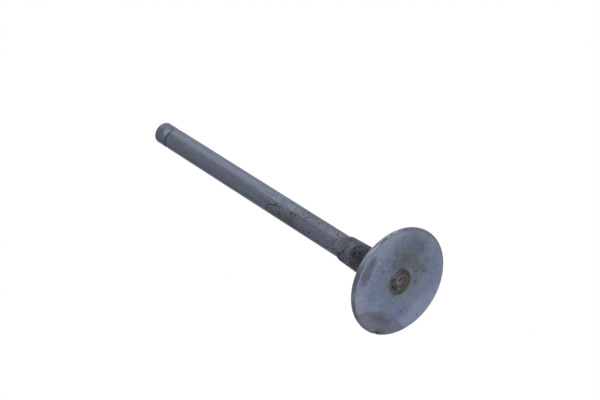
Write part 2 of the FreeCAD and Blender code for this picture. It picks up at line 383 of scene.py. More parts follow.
# Combustion face: heat-resisting steel, turned flat and then oxidised in the flame.
# Dull blue-grey with paler and mauve heat stains, rust round the recess, carbon and painted shade on the rim
# with a painted highlight at its upper left, and painted shadow in the recess.
# Grains are a size and, where they differ from the usual, low, high, detail, roughness and seed.
# Wanders are a size of grain and how far it pushes, and hues are two tints and the grain between them.
# Spots are millimetres right and up, half length, half width, turn in degrees, softness, strength, colour.
# Zones are where each starts, where it is full, and the level there and at its start.
faceLook = {
    "turn": 48.5,         # degrees from +X to the right hand of someone who faces the face
    "broadWander": (4.0, 1.0), "fineWander": (1.6, 0.7),
    # colour from the middle out, as a share of the head's radius
    "rings": [(0.0, "#6A6C74"), (0.24, "#6C7078"), (0.3, "#727987"), (0.45, "#757D92"), (0.7, "#777F96"),
              (0.85, "#7D859B"), (0.93, "#82889D"), (0.957, "#828898")],
    "drift": (5.0, -0.2, 0.6, 2), "blue": "#6A7794",
    "calm": (2.5, 0.42, 0.58, 2), "mottle": (1.1, 0, 1, 4, 0.65), "speck": (0.45,), "broad": (2.2,),
    "speckWeight": 1.8, "unevenness": 0.35, "moonUnevenness": 0.5,
    "hues": ("#EEF5F1", "#F9F3F6", 1.7, 0, 1, 3, 0.5, 5),
    "tints": [
        (-13.6, -1.4, 3.5, 1.8, 95, 0.7, 0.75, "#8B91A4"),
        (11.6, -9.6, 2.3, 0.6, 50, 0.6, 0.6, "#9098AC"),
        (7.0, -10.6, 6.0, 2.6, 35, 0.6, 0.7, "#8A93AB"),
        (1.6, -13.0, 3.0, 1.6, 5, 0.6, 0.6, "#868EA4"),
        (-2.0, 14.8, 7.0, 0.9, 8, 0.6, 0.7, "#8B92A4"),
        (0.3, 12.8, 2.6, 0.9, 8, 0.7, 0.5, "#737B91"),
        (-6.6, 11.0, 3.6, 2.0, 40, 0.7, 0.8, "#8893A9"),
        (10.5, 9.6, 4.6, 2.2, -45, 0.6, 0.45, "#7C859A"),
        (8.6, 12.2, 3.0, 1.3, -35, 0.6, 0.7, "#8990A2"),
        (-9.2, -4.7, 3.5, 2.4, 0, 0.7, 0.45, "#808AA4"),
        (-10.7, 7.2, 6.2, 2.9, 64, 0.45, 0.75, "#828DA8"),
        (-11.15, 6.85, 4.2, 1.7, 61, 0.36, 0.95, "#656778"),
        (-11.9, 5.3, 1.7, 0.8, 62, 0.6, 0.4, "#706676"),
        (-9.6, 9.3, 1.7, 0.9, 62, 0.6, 0.45, "#5F6171"),
        (3.8, 8.6, 5.8, 4.2, 35, 0.7, 0.85, "#5F6872"),
        (6.6, 8.0, 2.4, 1.6, 50, 0.6, 0.5, "#59647A"),
        (2.2, 5.4, 3.4, 2.0, 10, 0.6, 0.75, "#5A5E64"),
        (-0.8, 9.8, 2.4, 1.6, 20, 0.6, 0.4, "#666E74"),
        (6.8, 2.8, 3.4, 1.8, -25, 0.6, 0.7, "#60646A"),
        (12.6, 2.4, 2.2, 5.2, 0, 0.6, 0.35, "#6C7890"),
        (-2.0, -6.5, 4.2, 2.2, -20, 0.7, 0.35, "#6C758C"),
        (0.8, -9.6, 3.2, 1.8, 0, 0.7, 0.5, "#667090"),
        (5.0, -0.6, 2.2, 2.6, 0, 0.7, 0.5, "#646870"),
    ],
    "stains": [
        (1.3, 6.9, 1.0, 1.5, 0, 0.45, 0.6, "#5C5C58"), (-2.1, 6.6, 0.8, 1.6, 15, 0.45, 0.6, "#5F605C"),
        (-0.5, 7.0, 0.22, 1.6, -20, 0.5, 0.5, "#7E8998"), (-3.8, 8.6, 0.35, 1.6, 25, 0.5, 0.4, "#7F8B9A"),
        (-5.1, 5.7, 0.4, 0.9, 30, 0.5, 0.5, "#7F8B99"), (9.6, 4.4, 0.9, 0.7, -30, 0.5, 0.6, "#5D6460"),
        (8.8, 1.0, 0.8, 0.5, -30, 0.5, 0.6, "#60635A"), (-5.9, 5.4, 0.7, 0.6, 20, 0.5, 0.6, "#5B625E"),
        (-4.5, 0.5, 0.4, 0.8, 10, 0.5, 0.6, "#5F6056"), (5.4, -1.4, 0.5, 0.6, 0, 0.5, 0.7, "#565B66"),
        (0.7, -9.7, 0.35, 0.4, 0, 0.5, 0.7, "#56607A"), (-10.2, 3.3, 0.35, 0.6, 0, 0.5, 0.7, "#566478"),
        (6.4, -12.3, 0.3, 0.4, 0, 0.5, 0.7, "#5E677C"),
    ],
    # speckled areas, and the specks: colour, size, seed and how rare they are
    "speckled": [(1.5, 6.2, 9.0, 5.0, -12, 0.6, 1.0), (7.0, 1.6, 4.0, 3.4, 0, 0.6, 0.7)],
    "specks": [("#4C545E", 0.7, 1, 0.66), ("#5E5F56", 0.9, 2, 0.68), ("#808B99", 0.6, 3, 0.7)],
    "speckFade": 0.2, "speckStrength": 0.6,
    # half-moon by the rim: its circle, and colours across it from its middle out
    "moon": (-15.1, -24.9), "moonReach": 19.4, "moonEdge": (1.03, 0.975, 0.95),
    "moonWobble": (5, -0.45, 0.45, 2),
    "moonBands": [(0.0, "#5A5966"), (0.68, "#60606D"), (0.74, "#6A6A78"), (0.79, "#6F6F7C"),
                  (0.84, "#6B6C7B"), (0.88, "#686A7A"), (0.93, "#6A6B79"), (0.96, "#706F7B"),
                  (0.985, "#696A7B"), (1.0, "#686D81")],
    "moonTints": [
        (-6.2, -10.2, 3.9, 1.5, -37, 0.6, 0.72, "#5A5C6F"),
        (-7.6, -9.2, 1.6, 0.8, -25, 0.6, 0.25, "#5A5764"),
        (-3.6, -11.7, 2.0, 0.8, -42, 0.6, 0.55, "#5C6374"),
        (-5.0, -9.5, 3.4, 0.28, -37, 0.5, 0.5, "#7A757F"),
        (-5.6, -11.9, 3.8, 0.3, -36, 0.6, 0.4, "#75717D"),
        (-12.6, -7.6, 2.6, 1.3, -15, 0.7, 0.6, "#787A88"),
        (-6.6, -13.5, 1.9, 0.8, -28, 0.6, 0.6, "#5B5966"),
        (-9.7, -12.0, 1.2, 0.7, -40, 0.6, 0.5, "#7B7B86"),
        (-1.6, -13.8, 2.4, 1.4, -50, 0.7, 0.7, "#747888"),
        (-10.0, -9.9, 2.0, 0.8, -30, 0.6, 0.5, "#757784"),
    ],
    # bevel of the recess, redder to the right and greyer to the left
    "rust": "#4C493D", "rustSpot": "#564935", "rustGrey": "#545454",
    "rustGrain": (0.8, 0.55, 1.4, 3, 0.6, 11), "ringZone": (4.1, 3.5, 0.95), "ringWander": 0.35,
    "redSide": (1.0, 3.4), "greySide": (0.8, -2.2, 0.75, 0.1),
    # floor of the recess, with slanting streaks of scale
    "floorPale": "#716E79", "floorDark": "#25252E", "floorZone": (2.95, 2.55), "floorPaleZone": (-0.1, 0.8),
    "streak": (0.75, -0.28, 0.82), "streakTurn": -52, "streakStretch": (2.2, 0.7, 1),
    "recess": [
        # the first three: painted shadow and carbon on the wall at the left and lower left
        (-2.5, 0.6, 0.28, 1.2, 4, 0.4, 0.9, "#18191F"), (-2.05, -0.9, 0.38, 1.0, 34, 0.4, 0.9, "#15161C"),
        (-1.3, -1.75, 0.26, 0.6, 52, 0.5, 0.7, "#1E1E24"),
        (-1.4, 1.8, 0.9, 0.6, -30, 0.6, 0.5, "#6C717B"), (1.0, 1.5, 0.8, 0.6, -40, 0.6, 0.45, "#6A6F7A"),
        (-0.8, 2.9, 1.2, 0.4, 8, 0.6, 0.5, "#6B6A70"), (2.1, 2.9, 1.9, 0.45, -38, 0.5, 0.6, "#38311F"),
        (0.5, 3.6, 1.3, 0.4, -5, 0.5, 0.5, "#3D3527"), (3.3, 1.2, 0.4, 1.1, 18, 0.5, 0.5, "#3E3625"),
        (1.9, -0.9, 0.6, 0.5, 0, 0.6, 0.4, "#686052"), (2.5, -1.3, 0.4, 0.5, -25, 0.6, 0.55, "#654D36"),
        (1.2, -2.1, 1.1, 0.6, -20, 0.6, 0.55, "#57534C"), (2.3, -2.3, 0.7, 0.5, 40, 0.5, 0.5, "#4E5246"),
        (-0.5, -3.4, 1.6, 0.5, 0, 0.6, 0.45, "#423F36"),
        (-1.35, 0.75, 0.35, 0.4, 0, 0.5, 0.85, "#2A2A32"),
    ],
    # rim: its chamfer darkened as painted shade, the line of its corner, carbon, and painted shade on its
    # right side
    "chamferShade": "#676C77", "chamferShadeZone": (15.55, 15.8, 0.8), "edgeGrain": (2.2,),
    "corner": 15.85, "cornerZone": (0.3, 0.1, 0.6),
    "rimCarbonAndShade": "#383B46", "rimShadeZone": (15.5, 15.75), "rimShadeSide": (-2.0, 2.5, 0.5),
    "scarZone": (0, 0.6, 0.5),
    "rim": [
        (-15.3, 4.9, 3.8, 0.6, 72, 0.6, 0.8, "#4B4F5A"),
        (-9.0, -13.6, 3.2, 0.6, -34, 0.6, 0.8, "#3A3D48"),
        (-8.0, -13.7, 1.5, 0.45, -30, 0.5, 0.95, "#14151B"),
        (-5.6, -14.8, 1.8, 0.3, -21, 0.6, 0.7, "#3A3D48"),
        (-14.9, -6.2, 1.5, 0.35, 113, 0.6, 0.6, "#3E424D"),
        (-12.0, -10.8, 1.4, 0.3, 132, 0.6, 0.6, "#3E424D"),
        (-11.5, 11.1, 2.2, 0.5, 46, 0.5, 0.75, "#7D8290"),
        (-13.3, 8.4, 1.8, 0.35, 58, 0.6, 0.45, "#555A67"),
        (-15.85, -2.9, 5.2, 0.4, 100, 0.6, 0.8, "#4D515C"),
        (-3.0, 16.1, 5.0, 0.6, 10, 0.6, 0.6, "#858A97"),
        # painted highlight along the edge at the upper left
        (-8.2, 13.6, 2.8, 0.14, 31, 0.6, 0.8, "#A0A9B7"),
    ],
    "metal": 0.8, "rustMetal": 0.3, "polished": 0.38, "dull": 0.52, "rustDull": 0.75,
    "specular": 0.3, "specularTint": (0.6, 0.6, 0.62, 1),
    "turningMarks": 0.45,    # spacing; the real ones are finer, and these are as coarse as they need to show
    "markHeight": 0.0006, "pitHeight": 0.012, "bump": 0.6,
}


# A spot on the face, as cover takes it. It goes through the whole depth of the relief.
def onFace(right, up, halfLength, halfWidth, turn, *rest):
    return (right, up, 0), (halfLength, halfWidth, 99), (0, 0, turn), *rest


def finishFace():
    look = faceLook
    finish, tree = newFinish("oxidisedValveSteel")
    place = add(tree, "ShaderNodeTexCoord").outputs["Object"]
    # Right, up and depth in millimetres, as seen by someone who faces the combustion face.
    seen = add(tree, "ShaderNodeMapping", {"Vector": place, "Rotation": (0, 0, math.radians(look["turn"])),
               "Scale": (1 / mm, -1 / mm, 1 / mm)})
    drifting = wander(tree, seen, *look["broadWander"])
    wandering = wander(tree, seen, *look["fineWander"])
    parts, flat, radius = fromAxis(tree, seen)
    share = add(tree, "ShaderNodeMath", {0: radius, 1: headRadius}, operation="DIVIDE")
    colour = add(tree, "ShaderNodeValToRGB", {"Fac": share}, stops=look["rings"])

    # Slow drift to steel blue, then heat tints with smooth edges.
    drift = grains(tree, seen, *look["drift"])
    colour = add(tree, "ShaderNodeMix", {"Factor": drift, "A": colour, "B": linear(look["blue"])}, **overlay)
    calm = grains(tree, seen, *look["calm"])
    for spot in look["tints"]:
        colour = stain(tree, drifting, colour, calm, onFace(*spot))

    # Half-moon with banded edges.
    toMoon = add(tree, "ShaderNodeVectorMath", {0: flat, 1: (*look["moon"], 0)}, operation="DISTANCE")
    wobble = grains(tree, seen, *look["moonWobble"])
    moonPlace = add(tree, "ShaderNodeMath", {0: toMoon, 1: wobble}, operation="ADD")
    moonShare = add(tree, "ShaderNodeMath", {0: moonPlace, 1: look["moonReach"]}, operation="DIVIDE")
    inMoon = add(tree, "ShaderNodeMapRange", zone(moonShare, *look["moonEdge"]), **smooth)
    moonTone = add(tree, "ShaderNodeValToRGB", {"Fac": moonShare}, stops=look["moonBands"])
    for spot in look["moonTints"]:
        moonTone = stain(tree, drifting, moonTone, calm, onFace(*spot))
    colour = add(tree, "ShaderNodeMix", {"Factor": inMoon, "A": colour, "B": moonTone}, **overlay)

    # Small stains with frayed edges, and specks where the flame was hottest.
    mottle = grains(tree, seen, *look["mottle"])
    speck = grains(tree, seen, *look["speck"])
    for spot in look["stains"]:
        colour = stain(tree, wandering, colour, mottle, onFace(*spot))
    for area in look["speckled"]:
        inside = cover(tree, drifting, calm, *onFace(*area))
        for shade, size, seed, rare in look["specks"]:
            dots = grains(tree, seen, size, 0, 1, 2, seed=seed)
            there = add(tree, "ShaderNodeMapRange",
                        zone(dots, rare, rare + look["speckFade"], look["speckStrength"]))
            here = add(tree, "ShaderNodeMath", {0: there, 1: inside}, operation="MULTIPLY")
            colour = add(tree, "ShaderNodeMix", {"Factor": here, "A": colour, "B": linear(shade)}, **overlay)

    # Uneven oxide over all of it, in brightness and a little in hue, calmer in the half-moon.
    broad = grains(tree, seen, *look["broad"])
    twoSizes = add(tree, "ShaderNodeMath", {0: mottle, 1: broad}, operation="ADD")
    allSizes = add(tree, "ShaderNodeMath", {0: speck, 1: look["speckWeight"], 2: twoSizes},
                   operation="MULTIPLY_ADD")
    calmer = add(tree, "ShaderNodeMapRange", zone(inMoon, 0, 1, look["moonUnevenness"], 1.0))
    colour = unevenly(tree, colour, allSizes, 2 + look["speckWeight"], look["unevenness"], calmer)
    colour = swing(tree, seen, colour, *look["hues"])

    # Rust ring on the bevel of the recess.
    pushed = add(tree, "ShaderNodeMix", {"Factor": look["ringWander"], "A": seen, "B": wandering},
                 data_type="VECTOR")
    _, _, ringReach = fromAxis(tree, pushed)
    ring = add(tree, "ShaderNodeMapRange", zone(ringReach, *look["ringZone"]), **smooth)
    redSide = add(tree, "ShaderNodeMapRange", zone(parts["X"], *look["redSide"]))
    redHere = add(tree, "ShaderNodeMath", {0: redSide, 1: speck}, operation="MULTIPLY")
    rust = add(tree, "ShaderNodeMix", {"Factor": redHere, "A": linear(look["rust"]),
               "B": linear(look["rustSpot"])}, **overlay)
    rustGrain = grains(tree, seen, *look["rustGrain"])
    rust = add(tree, "ShaderNodeMix", {"Factor": 1.0, "A": rust, "B": rustGrain}, **multiplied)
    greySide = add(tree, "ShaderNodeMapRange", zone(parts["X"], *look["greySide"]))
    rust = add(tree, "ShaderNodeMix", {"Factor": greySide, "A": rust, "B": linear(look["rustGrey"])},
               **overlay)
    colour = add(tree, "ShaderNodeMix", {"Factor": ring, "A": colour, "B": rust}, **overlay)

    # Floor of the recess: lumpy pale scale over black, then spots, with painted shadow and carbon on its
    # left wall.
    lump = add(tree, "ShaderNodeAttribute", attribute_name="lump").outputs["Fac"]
    slant = add(tree, "ShaderNodeMapping", {"Vector": seen, "Scale": look["streakStretch"],
                "Rotation": (0, 0, math.radians(look["streakTurn"]))}, vector_type="TEXTURE")
    streak = grains(tree, slant, *look["streak"])
    lifted = add(tree, "ShaderNodeMath", {0: lump, 1: streak}, operation="ADD")
    pale = add(tree, "ShaderNodeMapRange", zone(lifted, *look["floorPaleZone"]))
    floorTone = add(tree, "ShaderNodeMix", {"Factor": pale, "A": linear(look["floorDark"]),
                    "B": linear(look["floorPale"])}, **overlay)
    onFloor = add(tree, "ShaderNodeMapRange", zone(ringReach, *look["floorZone"]), **smooth)
    colour = add(tree, "ShaderNodeMix", {"Factor": onFloor, "A": colour, "B": floorTone}, **overlay)
    for spot in look["recess"]:
        colour = stain(tree, seen, colour, mottle, onFace(*spot))

    # Rim: the chamfer darkened as painted shade, carbon in patches, and a painted highlight on the edge at
    # the upper left.
    edgeGrain = grains(tree, seen, *look["edgeGrain"])
    chamferShaded = add(tree, "ShaderNodeMapRange", zone(radius, *look["chamferShadeZone"]))
    fromCorner = add(tree, "ShaderNodeMath", {0: radius, 1: look["corner"]}, operation="SUBTRACT")
    offCorner = add(tree, "ShaderNodeMath", {0: fromCorner}, operation="ABSOLUTE")
    atCorner = add(tree, "ShaderNodeMapRange", zone(offCorner, *look["cornerZone"]))
    cornerMix = add(tree, "ShaderNodeMath", {0: atCorner, 1: edgeGrain}, operation="MULTIPLY")
    for where, shade in ((chamferShaded, look["chamferShade"]), (cornerMix, look["rimCarbonAndShade"])):
        colour = add(tree, "ShaderNodeMix", {"Factor": where, "A": colour, "B": linear(shade)}, **overlay)
    for spot in look["rim"]:
        colour = stain(tree, seen, colour, edgeGrain, onFace(*spot))
    # Painted shade on the right side of the rim, and the dents darkened.
    rimShadeSide = add(tree, "ShaderNodeMapRange", zone(parts["X"], *look["rimShadeSide"]))
    rimShadeBand = add(tree, "ShaderNodeMapRange", zone(radius, *look["rimShadeZone"]))
    rimShade = add(tree, "ShaderNodeMath", {0: rimShadeBand, 1: rimShadeSide}, operation="MULTIPLY")
    scar = add(tree, "ShaderNodeAttribute", attribute_name="scar").outputs["Fac"]
    scarred = add(tree, "ShaderNodeMapRange", zone(scar, *look["scarZone"]))
    for where in (rimShade, scarred):
        colour = add(tree, "ShaderNodeMix", {"Factor": where, "A": colour, "B": linear(look["rimCarbonAndShade"])},
                     **overlay)

    # Rusty parts are dull and hardly metallic.
    metal = add(tree, "ShaderNodeMapRange", zone(ring, 0, 1, look["rustMetal"], look["metal"]))
    polish = add(tree, "ShaderNodeMapRange", zone(mottle, 0, 1, look["dull"], look["polished"]))
    dull = add(tree, "ShaderNodeMix", {"Factor": ring, "A": polish, "B": look["rustDull"]},
               data_type="FLOAT")

    # Turning marks round the axis, and pits.
    turned = add(tree, "ShaderNodeMath", {0: radius, 1: 2 * math.pi / look["turningMarks"]},
                 operation="MULTIPLY")
    wave = add(tree, "ShaderNodeMath", {0: turned}, operation="SINE")
    waveLow = add(tree, "ShaderNodeMath", {0: wave, 1: look["markHeight"]}, operation="MULTIPLY")
    relief = add(tree, "ShaderNodeMath", {0: mottle, 1: look["pitHeight"], 2: waveLow},
                 operation="MULTIPLY_ADD")
    bump = add(tree, "ShaderNodeBump", {"Height": relief, "Distance": mm, "Strength": look["bump"]})
    surface = add(tree, "ShaderNodeBsdfPrincipled", {
        "Base Color": colour, "Metallic": metal, "Roughness": dull, "Normal": bump,
        "Specular IOR Level": look["specular"], "Specular Tint": look["specularTint"]})
    add(tree, "ShaderNodeOutputMaterial", {"Surface": surface})
    print("face finish:", len(tree.nodes), "nodes")
    return finish


# Stem and neck: ground steel, with a satin sheen and faint lengthwise wear.
# Soot has mottled its lower half, and the neck and back of the head carry a dark, rough carbon crust.
# Marks are azimuth, height, half width, half height, softness, strength, colour. Zones go by height.
stemLook = {
    "steel": "#595E6A", "sheen": "#626775", "streaks": (1.1,), "streakStretch": 0.08,
    "fineWander": (0.8, 0.3),
    # soot: its zone up the stem, and blotches drawn out lengthwise
    "soot": "#565B66", "sootZone": (74.0, 48.0), "sootLevel": (0.35, 0.75, 0.8),
    "blotch": (1.8, 0, 1, 5, 0.65), "blotchStretch": 0.55, "calm": (1.5, 0.4, 0.6, 2),
    "speck": (0.6,), "fleck": (0.45, 0, 1, 4, 0.7, 4), "fleckWeight": 2.0,
    "unevenness": 1.6, "unevenZone": (80.0, 30.0, 0.76, 0.19),
    "hues": [("#E6F1E7", "#F9EFF7", 1.4, 0, 1, 4, 0.7, 5), ("#FFFAF2", "#F2F9FF", 2.0, 0, 1, 4, 0.7, 8)],
    # scratches: azimuth and height of each bend, half width, strength, colour
    "scratches": [
        ([(2, 51.8), (-3, 53.8)], 0.15, 0.6, "#3A3E48"),
        ([(-2, 53.4), (-4.6, 55.6)], 0.2, 0.85, "#30333C"),
        ([(-4.2, 55.3), (-8, 56.2), (-15, 57.4), (-19, 58.7)], 0.23, 0.9, "#2A2D36"),
        ([(-4.2, 55.4), (2, 56.4)], 0.18, 0.8, "#30333C"),
        ([(-8, 58.9), (-24, 59.0)], 0.2, 0.85, "#2C2F38"),
        ([(14.7, 44.3), (13.5, 46.4)], 0.2, 0.5, "#42434E"),
        ([(3.0, 46.0), (2.4, 46.6)], 0.22, 0.7, "#3E393F"),
        ([(12, 49.0), (6, 50.7)], 0.2, 0.35, "#44464F"), ([(31, 40.5), (21, 41.9)], 0.26, 0.8, "#383E49"),
        ([(32, 39.7), (19, 41.0)], 0.16, 0.45, "#737A88"),
        ([(-33, 24.8), (-40, 27.0)], 0.3, 0.75, "#2C2D36"),
        ([(-42, 28.3), (-43, 29.2)], 0.25, 0.6, "#32343F"),
        ([(-40, 30.9), (-42, 31.9)], 0.3, 0.55, "#32343F"),
        ([(-43, 33.1), (-46, 34.2)], 0.2, 0.5, "#32343F"),
        ([(-21, 59.8), (-23, 60.3)], 0.16, 0.5, "#3A3D46"),
        ([(-28, 60.7), (-30, 61.2)], 0.3, 0.5, "#383B44"),
    ],
    "tints": [
        (-22, 46.9, 1.7, 1.8, 0.7, 0.45, "#494A56"), (-48, 50.0, 1.8, 9.5, 0.7, 0.65, "#4F5350"),
        (-5, 35.0, 1.8, 9.0, 0.7, 0.75, "#606272"), (36, 59.4, 0.6, 2.8, 0.7, 0.4, "#50545E"),
        (25, 41.0, 1.6, 4.5, 0.8, 0.3, "#4F545E"), (28, 51.0, 1.8, 5.0, 0.8, 0.3, "#6A707D"),
        (39, 55.0, 0.25, 0.45, 0.6, 0.5, "#454952"), (48, 37.0, 2.2, 14.0, 0.7, 0.7, "#4C5059"),
        (44, 26.4, 2.2, 2.4, 0.9, 0.35, "#57564F"), (34, 31.5, 1.0, 1.6, 0.9, 0.2, "#5D6055"),
        (28, 37.0, 0.8, 3.0, 0.9, 0.25, "#5E6360"), (-8, 25.2, 2.2, 0.9, 0.8, 0.6, "#666A76"),
        # the first of these darkens the lit side of the tip's land, as painted shade
        (38, 118.6, 2.2, 1.8, 0.7, 0.5, "#4A4F59"), (54, 25.2, 1.3, 1.1, 0.7, 0.5, "#4A4D55"),
        (-58, 25.2, 1.2, 1.0, 0.7, 0.4, "#44474F"),
    ],
    "quiet": (-6, 35.5, 1.4, 8.5, 0.7, 0.6),    # where the mottling is weak
    "marks": [
        (1.6, 47.9, 0.34, 0.5, 0.4, 0.95, "#171A20"), (-33.7, 37.9, 0.4, 0.6, 0.6, 0.6, "#30333B"),
        (-30, 52.9, 0.3, 0.5, 0.5, 0.75, "#30333A"), (-33.7, 48.8, 0.25, 0.5, 0.5, 0.6, "#383B42"),
        (-32.5, 41.5, 0.35, 0.5, 0.5, 0.6, "#363941"), (-41, 59.3, 0.6, 1.0, 0.7, 0.5, "#363A3F"),
        (-41, 57.0, 0.3, 0.7, 0.6, 0.5, "#363A3F"), (-35, 83.0, 0.35, 0.5, 0.5, 0.5, "#33363E"),
        (6, 26.6, 0.4, 0.7, 0.5, 0.5, "#45484F"),
    ],
    # carbon crust: darker by the head, with brown patches and grit, and a ragged top edge
    "crustDark": "#2A2C34", "crustPale": "#616570", "crustBrown": "#463F34",
    "crustGrain": (0.9, 0, 1, 6, 0.7), "crustPatch": (2.6, 0, 1, 3, 0.5, 3),
    "grit": (0.55, 0.1, 1.9, 4, 0.75, 9), "crustHues": ("#FFF1E0", "#E6EEFF", 0.8, 0, 1, 3, 0.6, 6),
    "crustLift": (14.0, 19.0, 0.3, -0.15), "crustLevel": (0.45, 1.6), "brownLevel": (0.55, 0.95, 0.4),
    "gritZone": (15.0, 19.0, 1.0, 0.35), "crustZone": (26.5, 22.0), "crustFray": 2.5,
    "neckRadius": 4.0,
    "neckMarks": [
        (-8, 14.6, 2.4, 1.6, 0.8, 0.35, "#2B2F38"), (-40, 15.6, 1.7, 2.0, 0.8, 0.2, "#2E3139"),
        (30, 15.8, 2.6, 2.4, 0.9, 0.5, "#23262E"), (2, 17.8, 1.6, 1.2, 0.8, 0.3, "#282B33"),
        (-34, 22.35, 0.55, 0.9, 0.6, 0.85, "#1B1C1F"), (33, 17.3, 0.4, 0.4, 0.5, 0.8, "#211C19"),
        (-41, 23.6, 0.4, 0.6, 0.6, 0.7, "#222326"), (-15, 21.2, 0.6, 0.4, 0.6, 0.6, "#2C2B2D"),
        (3, 16.7, 0.5, 0.45, 0.5, 0.9, "#17150F"), (21, 18.1, 0.5, 0.4, 0.5, 0.8, "#211D16"),
        (42, 16.2, 0.4, 0.5, 0.5, 0.5, "#24272D"), (-14, 18.3, 0.3, 0.4, 0.5, 0.6, "#292931"),
        (-33, 19.1, 0.3, 0.4, 0.5, 0.5, "#2A2C32"), (8.5, 20.6, 0.4, 0.5, 0.5, 0.8, "#3A3422"),
        (14, 15.1, 0.3, 0.4, 0.5, 0.7, "#14151A"), (-19, 21.3, 0.3, 0.6, 0.5, 0.85, "#1C1A15"),
        (28, 19.8, 0.8, 1.2, 0.6, 0.45, "#6C7078"), (-6, 19.4, 0.9, 0.8, 0.6, 0.3, "#63676F"),
        (-5, 23.0, 1.6, 1.0, 0.7, 0.25, "#666A78"), (60, 23.8, 1.8, 3.0, 0.7, 0.8, "#2F3239"),
        (-60, 23.2, 1.3, 2.4, 0.7, 0.8, "#2E3138"), (12, 19.0, 0.4, 0.6, 0.6, 0.3, "#666A70"),
    ],
    # keeper groove, darkened as painted shade: its flank as shares of its half width, its edge and how far
    # it has to be sunk
    "grooveHeadSideShade": "#565B65", "grooveTipSideShade": "#4E525C", "grooveFlank": (-0.4, 0.8), "grooveEdge": 0.1,
    "grooveSunk": (0.06, 0.28), "grooveShadeStrength": 0.9,
    "grooveShadeAndHighlight": [
        # painted shade on its flanks and near its foot, and a painted highlight on the lip towards the tip
        (-50, 116.0, 1.6, 0.9, 0.7, 0.6, "#33363E"), (56, 115.9, 1.0, 1.2, 0.6, 0.5, "#3A3E47"),
        (10, 115.65, 1.7, 0.4, 0.5, 0.75, "#2E3139"), (8, 116.8, 1.2, 0.5, 0.8, 0.7, "#858E9F"),
    ],
    "seat": "#7A7E88", "seatZone": (2.6, 2.3),
    "tipRub": "#8B909A", "tipZone": (0.9, 0.75), "tipStrength": 0.8,    # as shares of the stem's radius
    "metal": 0.85, "crustMetal": 0.25, "polished": 0.26, "dull": 0.34, "crustDull": 0.85,
    "specular": 0.25, "specularTint": (0.35, 0.35, 0.37, 1),
    "speckHeight": 0.004, "crustHeight": 0.06, "bump": 0.7,
}


# A mark on the stem or neck, as cover takes it. It goes 2 mm in.
def onStem(radius, azimuth, up, halfWidth, halfHeight, *rest, lean=0):
    a = math.radians(azimuth)
    middle = (radius * math.sin(a), -radius * math.cos(a), up)
    return middle, (halfWidth, 2.0, halfHeight), (0, lean, azimuth), *rest


